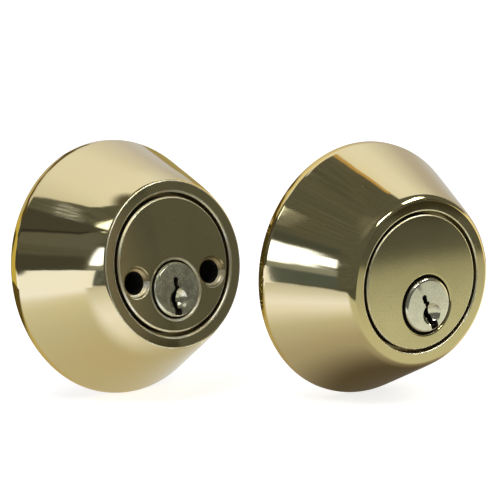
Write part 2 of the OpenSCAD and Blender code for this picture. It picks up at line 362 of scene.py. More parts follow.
# In each finish the haze, grain and so on are scales of noise, per metre; what such a noise adds to
# the roughness ends in Rough, and a pair that ends in From is where it starts to show and is full
brass = {
    "base": (0.62, 0.53, 0.28),
    "rich": (0.63, 0.52, 0.26),  # where the lacquer is thicker
    "lip": (0.60, 0.44, 0.12),  # lacquer gathers on the rim
    "lipHeight": (0.0016, 0.0024),  # metres from the door, where the rim's tint fades
    "haze": 900.0,
    "waves": 55.0,  # the slow waves of a buffed surface
    "richFrom": (0.35, 0.75),
    "scuffs": 260.0,
    "scuffStretch": (1, 1, 0.25),  # scuffs run along the half's axis
    "scuffsFrom": (0.62, 0.8),
    "rough": 0.045,
    "hazeRough": 0.03,
    "scuffRough": 0.08,
    "hazeHeight": 0.012,
    "bump": (0.25, 0.00035),
}


def polishedBrass(side):
    material, finish = newFinish(side + "PolishedBrass")
    place = halfPlace(finish, side)
    fromDoor = finish.split(place)[2]
    haze = finish.noise(place, brass["haze"], 3.0)
    waves = finish.noise(place, brass["waves"], 2.0)
    scuffs = finish.noise(place, brass["scuffs"], 4.0, brass["scuffStretch"])
    scuffs = finish.ease(scuffs, *brass["scuffsFrom"])
    tint = finish.blend(finish.ease(waves, *brass["richFrom"]), brass["base"], brass["rich"])
    tint = finish.blend(1 - finish.ease(fromDoor, *brass["lipHeight"]), tint, brass["lip"])
    rough = brass["rough"] + brass["hazeRough"] * haze + brass["scuffRough"] * scuffs
    finish.metal(tint, rough, finish.bump(waves + haze * brass["hazeHeight"], *brass["bump"]))
    return material


# Brass as it was cast, inside and behind the polished faces
rawMetal = {
    "base": (0.50, 0.40, 0.20),
    "stained": (0.36, 0.28, 0.14),
    "cast": 1400.0,
    "stains": 120.0,
    "stainsFrom": (0.35, 0.7),
    "rough": 0.34,
    "stainRough": 0.16,
    "bump": (0.35, 0.0001),
}


def rawBrass(side):
    material, finish = newFinish(side + "RawBrass")
    place = halfPlace(finish, side)
    cast = finish.noise(place, rawMetal["cast"], 4.0)
    stain = finish.noise(place, rawMetal["stains"], 3.0)
    stained = finish.ease(stain, *rawMetal["stainsFrom"])
    tint = finish.blend(stained, rawMetal["base"], rawMetal["stained"])
    rough = rawMetal["rough"] + rawMetal["stainRough"] * stain
    finish.metal(tint, rough, finish.bump(cast, *rawMetal["bump"]))
    return material


# Edges paler and duller than the faces beside them: partly rubbed by polishing, partly a painted highlight
rubbedEdgeHighlight = {
    "base": (0.88, 0.84, 0.64),
    "dull": (0.74, 0.65, 0.40),
    "wear": 300.0,
    "wearFrom": (0.35, 0.65),
    "grain": 3000.0,
    "rough": 0.30,
    "wearRough": 0.14,
    "grainRough": 0.06,
}


def edgeBrass(side):
    material, finish = newFinish(side + "EdgeBrass")
    place = halfPlace(finish, side)
    wear = finish.noise(place, rubbedEdgeHighlight["wear"], 4.0)
    grain = finish.noise(place, rubbedEdgeHighlight["grain"], 2.0)
    dull = finish.ease(wear, *rubbedEdgeHighlight["wearFrom"])
    tint = finish.blend(dull, rubbedEdgeHighlight["base"], rubbedEdgeHighlight["dull"])
    rough = rubbedEdgeHighlight["rough"] + rubbedEdgeHighlight["wearRough"] * wear + rubbedEdgeHighlight["grainRough"] * grain
    finish.metal(tint, rough)
    return material


# The flat faces: a fine sand grain under the lacquer
satin = {
    "base": (0.61, 0.53, 0.29),
    "cloudy": (0.56, 0.49, 0.26),
    "sandDark": (0.88, 0.88, 0.88),
    "sandBright": (1.08, 1.08, 1.07),
    "grain": 5200.0,
    "clouds": 90.0,
    "cloudsFrom": (0.3, 0.7),
    "sand": 3400.0,
    "sandFrom": (0.32, 0.68),
    "rough": 0.05,
    "grainRough": 0.07,
    "cloudRough": 0.02,
    "bump": (0.5, 0.000005),
}


def satinBrass(side):
    material, finish = newFinish(side + "SatinBrass")
    place = halfPlace(finish, side)
    grain = finish.noise(place, satin["grain"], 2.0)
    cloud = finish.noise(place, satin["clouds"], 3.0)
    sand = finish.ease(finish.noise(place, satin["sand"], 1.0), *satin["sandFrom"])
    sand = finish.blend(sand, satin["sandDark"], satin["sandBright"])
    tint = finish.blend(finish.ease(cloud, *satin["cloudsFrom"]), satin["base"], satin["cloudy"])
    tint = finish.tinted(tint, sand)
    rough = satin["rough"] + satin["grainRough"] * grain + satin["cloudRough"] * cloud
    finish.metal(tint, rough, finish.bump(grain, *satin["bump"]))
    return material


# The plugs: the inside one is more worn
nickel = {
    "outside": {"base": (0.80, 0.77, 0.62), "dull": (0.70, 0.67, 0.54), "rough": 0.08, "metallic": 1.0},
    "inside": {"base": (0.76, 0.74, 0.54), "dull": (0.44, 0.43, 0.31), "rough": 0.14, "metallic": 0.93},
    "grain": 2600.0,
    "wear": 420.0,
    "wearFrom": (0.38, 0.62),  # of the mean of both
    "grainRough": 0.12,
    "bump": (0.12, 0.00002),
}


def plugNickel(side):
    worn = nickel[side]
    material, finish = newFinish(side + "Nickel")
    place = halfPlace(finish, side)
    grain = finish.noise(place, nickel["grain"], 3.0)
    wear = finish.noise(place, nickel["wear"], 4.0)
    dull = finish.ease(wear * 0.5 + grain * 0.5, *nickel["wearFrom"])
    tint = finish.blend(dull, worn["base"], worn["dull"])
    rough = worn["rough"] + nickel["grainRough"] * grain
    finish.metal(tint, rough, finish.bump(grain + wear, *nickel["bump"]), worn["metallic"])
    return material


# Painted shade: near-black metal in the holes, the bore, the groove, the keyway and the gap round the plug's head,
# where shade falls
boreShade = {
    "base": (0.012, 0.011, 0.009),
    "pale": (0.035, 0.03, 0.02),
    "specks": 900.0,
    "specksFrom": (0.35, 0.7),
    "rough": 0.55,
    "speckRough": 0.2,
    "metallic": 0.6,
}


def sootyBore():
    material, finish = newFinish("paintedShadeBore")
    specks = finish.noise(finish.place(), boreShade["specks"], 3.0)
    tint = finish.blend(finish.ease(specks, *boreShade["specksFrom"]), boreShade["base"], boreShade["pale"])
    finish.metal(tint, boreShade["rough"] + boreShade["speckRough"] * specks, metallic=boreShade["metallic"])
    return material


# Turned and drawn metal inside the lock: bright and dull tint, roughness, and the scale of its grain
machined = {
    "yellowBrass": ((0.72, 0.52, 0.22), (0.58, 0.42, 0.19), 0.2, 2600.0),
    "zincSteel": ((0.56, 0.57, 0.58), (0.44, 0.45, 0.47), 0.28, 1800.0),
    "springWire": ((0.58, 0.58, 0.60), (0.48, 0.48, 0.50), 0.22, 4000.0),
}
# a stain is so many grains wide
machinedGrain = {"stain": 12, "stainFrom": (0.3, 0.75), "rough": 0.12, "bump": (0.3, 0.00004)}


def machinedMetal(name):
    base, dull, rough, scale = machined[name]
    material, finish = newFinish(name)
    place = finish.place()
    grain = finish.noise(place, scale, 3.0)
    stain = finish.noise(place, scale / machinedGrain["stain"], 3.0)
    tint = finish.blend(finish.ease(stain, *machinedGrain["stainFrom"]), base, dull)
    finish.metal(tint, rough + machinedGrain["rough"] * grain, finish.bump(grain, *machinedGrain["bump"]))
    return material


finishes = {name: machinedMetal(name) for name in machined}
finishes["paintedShadeBore"] = sootyBore()
for side in sides:
    finishes[side, "polished"] = polishedBrass(side)
    finishes[side, "raw"] = rawBrass(side)
    finishes[side, "satin"] = satinBrass(side)
    finishes[side, "edge"] = edgeBrass(side)
    finishes[side, "plug"] = plugNickel(side)
print("finishes made")


collar = {
    "rimRounding": 0.5,  # at the door
    "rimTurn": 4.0,  # between the rim and the cone
    "lip": 2.0,  # straight height of the rim
    "wall": 1.6,
    "slant": 1.095,  # the cone's wall measured level, as a share of its thickness
    "bend": (23.6, 22.0),  # the cone runs straight from the rim towards here
    "opening": 18.25,
    "mouthRounding": {"outside": 0.4, "inside": 0.8},
    "seat": 22.6,  # where the cylinder body's disc rests
    "ledge": (16.7, 20.6),
    "backRounding": (0.2, 0.4, 1.0),  # at the door, under the ledge, and inside the rim
    # where the cone turns over, the flat ring's outer radius, and its rounding
    "outside": {"neck": [(23.6, 22.0, 60), (22.14, 24.8, 3.4)], "ring": 21.12, "nose": 1.15},
    "inside": {"neck": [(24.04, 21.0, 66)], "ring": 21.5, "nose": 0.9},
    "rubbedHighlight": 0.13,  # how far from its front the inside ring's nose gets the paler edge finish, partly rubbed and partly a painted highlight
}


# Polished brass, raw brass behind, satin on the inside half's flat ring, and paler edges, partly rubbed and partly
# a painted highlight
def collarFinish(side, face):
    height = face.center.z / mm
    facing = face.normal.z  # 1 on a level face
    inward = face.normal.x * face.center.x + face.normal.y * face.center.y < 0
    nose = side == "inside" and height > size["front"] - collar["rubbedHighlight"]
    if (inward or abs(facing) > 0.9) and 0.01 < height < size["front"] - 0.5:
        return 1
    if side == "inside" and facing > 0.99:
        return 2
    return 3 if facing > 0.1 and (inward or nose) else 0


def makeCollar(side):
    rim = size["rim"]
    front = size["front"]
    lip = collar["lip"]
    seat = collar["seat"]
    opening = collar["opening"]
    ledgeIn, ledge = collar["ledge"]
    doorEdge, underLedge, behindRim = collar["backRounding"]
    inner = rim - collar["wall"] * collar["slant"]
    slope = (rim - collar["bend"][0]) / (collar["bend"][1] - lip)
    piece = turned(side + "Collar", [
        (rim - collar["wall"], 0, doorEdge),
        (rim, 0, collar["rimRounding"]),
        (rim, lip, collar["rimTurn"]),
        *collar[side]["neck"],
        (collar[side]["ring"], front, collar[side]["nose"]),
        (opening, front, collar["mouthRounding"][side]),
        (opening, seat),
        (ledgeIn, seat),
        (ledgeIn, ledge),
        (inner - slope * (ledge - lip), ledge, underLedge),
        (inner, lip, behindRim)], closed=True, segments=256, step=5)
    polish(piece)
    for face in piece.data.polygons:
        face.material_index = collarFinish(side, face)
    fit(piece, side, "collar", "lock_halves",
        [finishes[side, kind] for kind in ("polished", "raw", "satin", "edge")])


for side in sides:
    makeCollar(side)
print("collars made")


body = {
    "face": 17.35,
    "faceRounding": {"outside": 0.45, "inside": 0.65},
    "faceThickness": 3.0,
    "spigot": 16.55,  # the part of the disc that sits in the collar's ledge
    "spigotBack": 19.6,
    "spigotRounding": 0.3,
    "shell": 8.6,  # the tube round the plug
    "shellRounding": 0.3,
    "bore": 6.4,
    "headBore": {"outside": 7.6, "inside": 7.35},
    "headSeat": 24.25,
    "mouthWidth": {"outside": 0.6, "inside": 1.1},  # how wide the bore's mouth is worn round
    "mouthSink": {"outside": 1.0, "inside": 0.5},  # its depth as a share of its width
    "blockWidth": 7.2,
    "blockFoot": 1.0,
    "blockTop": 17.4,
    "blockBevel": 0.4,
    "overlap": 0.5,  # how deep joined parts run into the disc
    "chamber": 1.5,
    "chamberTop": 16.8,
    "firstPin": 17.6,
    "pitch": 3.81,
    "coverWidth": 5.1,
    "hole": 3.0,
    "pocket": 4.0,
    "pocketDepth": 1.3,
    "pocketCorner": 0.12,  # rounding between the hole and the pocket's floor
    "pocketBowl": (0.35, 0.7, 0.7),  # the floor's turn: its inset, share of the depth, rounding
    "pocketEdge": (0.2, 0.12),  # the bevel at the pocket's mouth: its width and depth
    "tube": 4.0,
    "tubeEnd": 2.0,
    "tubeRounding": 0.2,
    "post": 3.2,
    "postReach": 6.0,
    "postRounding": 0.3,
    "thread": 2.1,
    "threadDepth": 16.0,
    "threadLead": 0.5,
    "drillPoint": 1.0,
    "highlightTowards": (0.5, -0.87),  # only this side of each pocket gets the paler edge finish, a painted highlight on the side the light falls on
    "pocketHighlight": 0.3,  # how far outside the pocket the painted highlight on its edge reaches
    "near": 0.05,  # a face this close to a radius counts as on it
}


# The five pin chambers, drilled from a height above the plug's axis
def drillChambers(piece, low, high):
    for number in range(5):
        chamber = rod("chamber", body["chamber"], low, high, (0, 0), segments=48)
        layUp(chamber, (0, size["plugDrop"], body["firstPin"] - number * body["pitch"]))
        cut(piece, chamber)


# The plug's bore with the counterbore for its head, its mouth worn round
def boreOutline(side):
    front = size["front"]
    headBore = body["headBore"][side]
    wide = body["mouthWidth"][side]
    deep = wide * body["mouthSink"][side]
    outline = [(0, size["bodyBack"] - past), (body["bore"], size["bodyBack"] - past),
        (body["bore"], body["headSeat"]), (headBore, body["headSeat"])]
    for degrees in range(0, 91, 15):
        angle = math.radians(degrees)
        outline.append((headBore + wide * (1 - math.cos(angle)), front - deep * (1 - math.sin(angle))))
    return outline + [(headBore + wide, front + past), (0, front + past)]


def pocketOutline():
    front = size["front"]
    hole = body["hole"]
    pocket = body["pocket"]
    depth = body["pocketDepth"]
    back = body["tubeEnd"] - past
    inset, share, rounding = body["pocketBowl"]
    wide, deep = body["pocketEdge"]
    return [(0, back), (hole, back), (hole, front - depth, body["pocketCorner"]),
        (pocket - inset, front - depth * share, rounding), (pocket, front - deep),
        (pocket + wide, front), (pocket + wide, front + past), (0, front + past)]


def threadOutline():
    thread = body["thread"]
    end = -body["postReach"]
    floor = body["threadDepth"] + end
    return [(0, end - past), (thread + past, end - past), (thread, end + body["threadLead"]),
        (thread, floor), (0, floor + body["drillPoint"])]


# Satin face, raw brass behind and in the pockets, painted shade in the bores, holes and groove, and paler edges,
# partly rubbed and partly a painted highlight
def bodyFinish(side, face):
    spot = face.center.xy / mm
    height = face.center.z / mm
    front = size["front"]
    near = body["near"]
    facing = face.normal.z  # 1 on a level face
    inside = side == "inside"
    screw = min((Vector(screw) for screw in screwsAt), key=lambda screw: (spot - screw).length)
    fromScrew = (spot - screw).length
    fromPlug = (spot - Vector(plugAt)).length
    rubbedHighlight = (spot - screw).normalized().dot(Vector(body["highlightTowards"])) > 0.5
    inScrewHole = fromScrew < body["hole"] + near and abs(facing) < 0.5
    inBore = fromPlug < body["headBore"][side] + near and height < front - 0.2
    inGroove = spot.length > body["face"] - 0.1 and abs(facing) < 0.1
    # painted shade: the screw holes, the bore and the groove round the disc get the near-black finish
    if inScrewHole or inBore or inGroove:
        return 2
    inPocket = inside and fromScrew < body["pocket"] + near and not rubbedHighlight
    if height < front - body["faceThickness"] - 0.1 or inPocket:
        return 1
    pocketEdge = fromScrew < body["pocket"] + body["pocketHighlight"] and rubbedHighlight
    boreEdge = fromPlug < body["headBore"][side] + body["mouthWidth"][side] + near
    discEdge = spot.length > body["face"] - body["faceRounding"][side]
    # paler edge finish: partly rubbed brass, partly a painted highlight
    worn = inside and (pocketEdge or boreEdge) or discEdge
    return 3 if worn and 0.15 < facing < 0.985 else 0


def makeBody(side):
    front = size["front"]
    back = size["bodyBack"]
    shoulder = front - body["faceThickness"]
    root = body["spigotBack"] + body["overlap"]
    halfBlock = body["blockWidth"] / 2
    halfCover = body["coverWidth"] / 2
    drop = size["plugDrop"]
    piece = turned(side + "CylinderBody", [
        (0, body["spigotBack"]), (body["spigot"], body["spigotBack"], body["spigotRounding"]),
        (body["spigot"], shoulder), (body["face"], shoulder),
        (body["face"], front, body["faceRounding"][side]), (0, front)], segments=256, step=5)
    join(piece, block("pinBlock", (-halfBlock, drop + body["blockFoot"], back),
        (halfBlock, drop + body["blockTop"], root), body["blockBevel"], 3))
    join(piece, rod("shell", body["shell"], back, root, plugAt, body["shellRounding"], 128))
    for screw in screwsAt:
        if side == "inside":
            join(piece, rod("tube", body["tube"], body["tubeEnd"], root, screw, body["tubeRounding"]))
        else:
            join(piece, rod("post", body["post"], -body["postReach"], root, screw, body["postRounding"]))
    cut(piece, turned("bore", boreOutline(side), centre=plugAt, segments=128))
    drillChambers(piece, 0, body["blockTop"] + past)
    # the slot that the chamber cover fills just runs past the first chamber
    cut(piece, block("coverSlot", (-halfCover, drop + body["chamberTop"], back - past),
        (halfCover, drop + body["blockTop"] + past, body["firstPin"] + body["chamber"] + 0.01)))
    for screw in screwsAt:
        if side == "inside":
            cut(piece, turned("screwHole", pocketOutline(), centre=screw, segments=96))
        else:
            cut(piece, turned("threadHole", threadOutline(), centre=screw, segments=64))
    polish(piece)
    for face in piece.data.polygons:
        face.material_index = bodyFinish(side, face)
    fit(piece, side, "cylinder_body", "lock_halves",
        [finishes[side, "satin"], finishes[side, "raw"], finishes["paintedShadeBore"], finishes[side, "edge"]])


for side in sides:
    makeBody(side)
print("cylinder bodies made")


plug = {
    "radius": 6.35,
    "head": 7.0,
    "headThickness": 2.0,
    "edgeRounding": 0.75,
    "tail": 5.6,
    "tailBack": -4.59,
    "tailRounding": 0.3,
    "capFace": -1.09,
    "capRounding": 0.2,
    "dish": 2.8,
    "dishDepth": 1.5,
    "dishAt": (0.35, -2.6),
    # the keyway from its top to the plug's underside: left, right, low, high
    "keyway": [(-1.25, 0.05, 0.9, 2.4), (-0.9, 0.35, -1.0, 1.0), (-1.3, 0.45, -3.2, -0.9),
        (-0.75, 0.8, -6.5, -3.1)],
    "keywayBack": -0.1,
    "topMargin": 0.08,  # how much wider the keyway's round top is
    "notches": [(-1.25, -0.6, 0.95, 1.6), (-0.2, 0.5, 0.3, 0.95)],
    "notchBack": 15,
    "mouth": (-0.54, 1.5, -6.6, -4.8),
    "mouthDepth": 1.9,
    "mouthBevel": 0.2,
    "turn": {"outside": 0, "inside": -8.5},  # how far each keyway leans, in degrees
    "chamberFloor": -0.9,  # from the plug's axis
    "flange": 0.9,  # the head's outer part, which stays bright
}


# The dish that guides the key in is a part of a sphere
def dishOutline(face):
    radius = plug["dish"]
    depth = plug["dishDepth"]
    sphere = (radius ** 2 + depth ** 2) / (2 * depth)
    outline = []
    for share in (0, 0.15, 0.3, 0.45, 0.6, 0.7, 0.8, 0.88, 0.95, 1.0):
        across = radius * share
        outline.append((across, face - depth + sphere - math.sqrt(sphere ** 2 - across ** 2)))
    return outline + [(radius, face + past), (0, face + past)]


# Nickel outside; painted shade, the near-black bore finish, in the keyway and on the head's flank
def plugFinish(face):
    across = (face.center.xy / mm - Vector(plugAt)).length
    middle = across < plug["head"] - plug["flange"]
    wall = middle and abs(face.normal.z) < 0.3
    deep = middle and face.center.z / mm < size["plugFace"] - plug["dishDepth"] - 0.1
    flank = across > plug["head"] - 0.02 and abs(face.normal.z) < 0.1
    return 1 if (wall or deep or flank) and face.center.z > 0 else 0


def makePlug(side):
    face = size["plugFace"]
    drop = size["plugDrop"]
    shoulder = face - plug["headThickness"]
    piece = turned(side + "Plug", [
        (0, plug["tailBack"]), (plug["tail"], plug["tailBack"], plug["tailRounding"]),
        (plug["tail"], plug["capFace"]), (plug["radius"], plug["capFace"], plug["capRounding"]),
        (plug["radius"], shoulder), (plug["head"], shoulder),
        (plug["head"], face, plug["edgeRounding"]), (0, face)], centre=plugAt)

    def carve(tool):
        pick(tool)
        bpy.ops.transform.rotate(value=math.radians(-plug["turn"][side]), orient_axis="Z",
            center_override=(0, drop * mm, 0))
        applyPlace()
        cut(piece, tool)

    def carveBlock(name, span, back, bevel=0.0):
        left, right, low, high = span
        carve(block(name, (left, drop + low, back), (right, drop + high, face + past), bevel))

    for span in plug["keyway"]:
        carveBlock("slot", span, plug["keywayBack"])
    left, right, low, high = plug["keyway"][0]
    top = (right - left) / 2 + plug["topMargin"]
    carve(rod("slotTop", top, plug["keywayBack"], face + past, ((left + right) / 2, drop + high),
        segments=32))
    for span in plug["notches"]:
        carveBlock("notch", span, plug["notchBack"])
    dishX, dishY = plug["dishAt"]
    carve(turned("dish", dishOutline(face), centre=(dishX, drop + dishY), segments=96))
    carveBlock("mouth", plug["mouth"], face - plug["mouthDepth"], plug["mouthBevel"])
    drillChambers(piece, plug["chamberFloor"], plug["radius"] + past)
    polish(piece)
    for polygon in piece.data.polygons:
        polygon.material_index = plugFinish(polygon)
    fit(piece, side, "plug", side + "_plug",
        [finishes[side, "plug"], finishes["paintedShadeBore"]])


for side in sides:
    makePlug(side)
print("plugs made")


spring = {
    "wire": 0.34,
    "turns": 5,
    "steps": 24,  # of each turn
    "sections": 10,  # round the wire
    "slack": 0.01,  # how much more it shortens than its driver pin lifts, as a share
}


# Wound about +Z and laid up its chamber
def makeSpring(side, number):
    node = "pin_spring_" + str(number)
    joint = joints[side + "_driver_pin_" + str(number) + "_lift"]
    low, high = localBox(side, node)
    wire = spring["wire"] * mm
    length = high.y - low.y
    clearSelection()
    bpy.ops.mesh.primitive_circle_add(vertices=spring["sections"], radius=wire / 2, enter_editmode=True)
    piece = bpy.context.object
    piece.name = side + "PinSpring" + str(number)
    bpy.ops.transform.rotate(value=math.pi / 2, orient_axis="X", center_override=(0, 0, 0))
    bpy.ops.transform.translate(value=((high.x - low.x - wire) / 2, 0, 0))
    bpy.ops.object.mode_set(mode="OBJECT")
    pick(piece)
    winding = piece.modifiers.new("winding", "SCREW")
    winding.iterations = spring["turns"]
    winding.screw_offset = (length - wire) / spring["turns"]
    winding.steps = spring["steps"]
    bpy.ops.object.modifier_apply(modifier=winding.name)
    bpy.ops.object.mode_set(mode="EDIT")
    bpy.ops.mesh.select_all(action="SELECT")
    bpy.ops.mesh.fill_holes(sides=0)
    bpy.ops.mesh.select_all(action="SELECT")
    bpy.ops.mesh.normals_make_consistent(inside=False)
    bpy.ops.object.mode_set(mode="OBJECT")
    layUp(piece, Vector((0, low.y + wire / 2, (low.z + high.z) / 2)) / mm)
    polish(piece, 40)
    fit(piece, side, node, "lock_halves", [finishes["springWire"]])
    lift = max(joint["range_m"])
    (length - lift) / length - spring["slack"]
    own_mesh(piece)


for side in sides:
    for number in range(1, 6):
        makeSpring(side, number)
print("pin springs made")


# The other nodes keep their CAD shapes: the finish of each by the first of these words in its name
carriedOver = {"spring": "springWire", "tailpiece": "zincSteel", "cap_pin": "zincSteel", "": "yellowBrass"}

for name, node in frame["nodes"].items():
    if node.hide_render:
        continue
    word = next(word for word in carriedOver if word in name)
    node.data.materials.clear()
    node.data.materials.append(finishes[carriedOver[word]])
print("carried-over nodes finished")


# The light tent: a round cloth that only the brass sees. Azimuths and elevations are in degrees.
tent = {
    "radius": 0.25,
    "dark": (0.115, 0.12, 0.11),
    "fold": (0.165, 0.17, 0.155),  # the dark cloth has faint level folds
    "foldScale": (0.05, 0.8),
    "foldFrom": (0.3, 0.7),
    # the back wall: its left side, foot, top and softness
    "wall": (98, -30, 74, 1.2),
    # its tones from 15 degrees below level up to 75 above, as shares of that height
    "wallBase": 15.0,
    "wallHeight": 90.0,
    "wallTones": [(0.0, (0.76, 0.79, 0.92)), (0.22, (0.76, 0.79, 0.92)), (0.36, (0.74, 0.75, 0.84)),
        (0.47, (0.76, 0.76, 0.83)), (0.56, (0.87, 0.88, 0.93)), (0.66, (1.00, 1.02, 1.10)),
        (0.75, (1.14, 1.18, 1.32)), (0.86, (1.20, 1.23, 1.40)), (1.0, (1.15, 1.15, 1.20))],
    # the azimuth of its right-hand edge over the same heights, as a share of 40 degrees from 230
    "edgeStart": 230.0,
    "edgeSpan": 40.0,
    "edgeSoft": 0.7,
    "edge": [(0.0, 0.67), (0.17, 0.66), (0.23, 0.57), (0.29, 0.42), (0.333, 0.28), (0.378, 0.23),
        (0.40, 0.17), (0.50, 0.15), (0.555, 0.17), (0.61, 0.205), (0.645, 0.205), (0.68, 0.25),
        (0.72, 0.32), (0.8, 0.265), (1.0, 0.2625)],
    "warm": (0.84, 0.77, 0.64),  # the wall's left, low down
    "warmTop": (15, 45),
    "cool": (1.0, 0.99, 0.98),  # the rest of it
    "coolFrom": (125.0, 160.0),
    "gold": (0.85, 0.80, 0.36),  # low down beside its edge
    "goldFrom": (210, 218),
    "goldTop": (18, 21),
    "seam": (0.05, 0.045, 0.03),  # just past its edge: from, to and softness, across and up
    "seamAt": (0.4, 2.4, 0.5),
    "seamHeight": (1.5, 15, 1.5),
    # amber lines beside the wall, then panels: azimuth from and to, elevation from and to,
    # softness and tone
    "ambers": [
        (117, 205, 72.6, 75.2, 0.6, (0.74, 0.50, 0.20)),
        (140, 158, -8, 13, 2.0, (0.42, 0.33, 0.12)),
    ],
    "panels": [
        (249, 264.5, -30, 0.2, 1.8, (1.50, 1.62, 2.25)),
        (240, 264, 17, 31, 2.0, (0.17, 0.175, 0.18)),
        (243, 264, 1.2, 12, 1.5, (0.085, 0.087, 0.083)),
        (166, 178, 20, 36, 2.0, (0.14, 0.10, 0.035)),
        (176, 189, 28, 43, 2.0, (0.14, 0.10, 0.035)),
        (187, 203, 33, 44, 2.0, (0.14, 0.10, 0.035)),
        (201, 214, 30, 39, 2.0, (0.14, 0.10, 0.035)),
        (212, 224, 26, 37, 2.0, (0.14, 0.10, 0.035)),
        (222, 238, 22, 33, 1.5, (0.14, 0.10, 0.035)),
        (200, 225, -30, 12.5, 1.5, (0.12, 0.10, 0.05)),
        (265.5, 274, -8, 4, 0.8, (0.125, 0.155, 0.18)),
        (265.5, 274, 3, 9, 1.2, (0.36, 0.40, 0.45)),
        (266.0, 271.0, 8.2, 21, 1.2, (3.0, 3.4, 5.0)),
        (271.0, 273.2, 11, 18.5, 0.9, (3.0, 3.3, 4.6)),
        (266.0, 269.4, 6.8, 9, 0.4, (2.4, 2.6, 3.8)),
        (265.5, 274, 23, 28.5, 1.0, (0.10, 0.115, 0.12)),
        (258, 267.4, 33, 46, 0.7, (0.28, 0.28, 0.28)),
        (257, 264.5, 38.5, 46, 0.4, (3.0, 3.2, 3.4)),
        (256, 261.5, 33, 46, 0.7, (3.0, 3.2, 3.4)),
        (345, 8, 41, 47, 1.0, (15.0, 15.2, 15.0)),
        (28, 62, 46.5, 56, 1.2, (12.0, 12.2, 12.0)),
        (22, 50, 11.6, 30, 0.5, (0.065, 0.07, 0.07)),
        (22, 50, -6.2, 1.5, 0.4, (0.05, 0.045, 0.03)),
        (22, 29.2, 1.5, 11.6, 0.5, (0.27, 0.24, 0.21)),
        (36.0, 50, 1.5, 11.6, 0.4, (0.22, 0.185, 0.14)),
        (50, 97, -12, 14, 2.5, (1.30, 1.15, 0.80)),
    ],
    # slanting streaks: slope, where they start and end at the pivot's azimuth, softness,
    # elevations, azimuths, tone, and whether they are mottled
    "pivot": 252.0,
    "streaks": [
        (-1.1, 23.5, 45, 0.6, 16, 36, 236, 264, (0.09, 0.09, 0.09), False),
        (-1.1, 24.2, 26.0, 0.35, 16, 34, 247.5, 257, (0.045, 0.04, 0.04), False),
        (1.0, 30.8, 33.4, 0.8, 35.5, 43, 236, 264, (0.85, 0.92, 1.15), True),
        (0.36, 51.5, 90, 2.4, 44, 70, 190, 243, (0.14, 0.13, 0.10), False),
    ],
    "streakSoft": (1.0, 0.7),  # up and along the cloth
    "mottle": 1.1,
    "mottleFrom": (0.40, 0.66),
}
perRadian = 180 / math.pi
hiddenFrom = ("camera", "diffuse", "transmission", "volume_scatter", "shadow")


# Shows a piece of the stage to glossy rays alone
def onlyMirrored(piece):
    for ray in hiddenFrom:
        setattr(piece, "visible_" + ray, False)


# The pale wall's tones and where it is, from azimuth, elevation and how far past its edge
def wallTone(finish, azimuth, height, share, beyond):
    tone = finish.ramp(tent["wallTones"], share)
    warm = finish.blend(finish.ease(height, *tent["warmTop"]), tent["warm"], (1, 1, 1))
    across = finish.ease(azimuth, *tent["coolFrom"])
    tone = finish.tinted(tone, finish.blend(across, warm, tent["cool"]))
    gold = finish.ease(azimuth, *tent["goldFrom"]) * (1 - finish.ease(height, *tent["goldTop"]))
    tone = finish.blend(gold, tone, tent["gold"])
    left, low, high, soft = tent["wall"]
    mask = finish.ease(azimuth, left - soft, left + soft) * finish.band(height, low, high, soft)
    return tone, mask * (1 - finish.ease(beyond, -tent["edgeSoft"], tent["edgeSoft"]))


def tentFinish():
    material, finish = newFinish("tentCloth")
    x, y, z = finish.split(finish.place())
    bearing = finish.math("ARCTAN2", x, 0 - y) * perRadian
    azimuth = finish.math("MODULO", bearing + 360.0, 360.0)
    height = finish.math("ARCSINE", z / tent["radius"]) * perRadian
    share = (height + tent["wallBase"]) / tent["wallHeight"]
    edge = finish.ramp([(at, (grey, grey, grey)) for at, grey in tent["edge"]], share)
    beyond = azimuth - (finish.split(edge)[0] * tent["edgeSpan"] + tent["edgeStart"])
    tone, mask = wallTone(finish, azimuth, height, share, beyond)
    along, up = tent["foldScale"]
    fold = finish.node("ShaderNodeCombineXYZ", {}, {0: azimuth * along, 1: height * up})
    folds = finish.ease(finish.noise(fold, 1.0, 4.0), *tent["foldFrom"])
    light = finish.blend(mask, finish.blend(folds, tent["dark"], tent["fold"]), tone)
    # a panel may cross azimuth 0, so its azimuths are counted from 10 degrees before it
    before = 10.0
    for left, right, low, high, soft, tone in tent["ambers"] + tent["panels"]:
        around = finish.math("MODULO", azimuth + (360.0 - left + before), 360.0)
        mask = finish.band(around, before, before + (right - left) % 360, soft)
        light = finish.blend(mask * finish.band(height, low, high, soft), light, tone)
    speck = finish.node("ShaderNodeCombineXYZ", {}, {0: azimuth, 1: height})
    mottle = finish.ease(finish.noise(speck, tent["mottle"], 3.0), *tent["mottleFrom"])
    softUp, softAlong = tent["streakSoft"]
    for slope, start, end, soft, low, high, left, right, tone, mottled in tent["streaks"]:
        mask = finish.band(height + (azimuth - tent["pivot"]) * slope, start, end, soft)
        mask = mask * finish.band(height, low, high, softUp) * finish.band(azimuth, left, right, softAlong)
        light = finish.blend(mask * mottle if mottled else mask, light, tone)
    seam = finish.band(beyond, *tent["seamAt"]) * finish.band(height, *tent["seamHeight"])
    finish.surface(finish.glow(finish.blend(seam, light, tent["seam"])))
    material.cycles.emission_sampling = "NONE"
    return material


def makeTent():
    clearSelection()
    bpy.ops.mesh.primitive_uv_sphere_add(segments=128, ring_count=64, radius=tent["radius"],
        location=(0, 0, 0), enter_editmode=True)
    cloth = bpy.context.object
    cloth.name = "lightTent"
    bpy.ops.mesh.select_all(action="SELECT")
    bpy.ops.mesh.flip_normals()
    bpy.ops.object.mode_set(mode="OBJECT")
    cloth.data.materials.append(tentFinish())
    onlyMirrored(cloth)


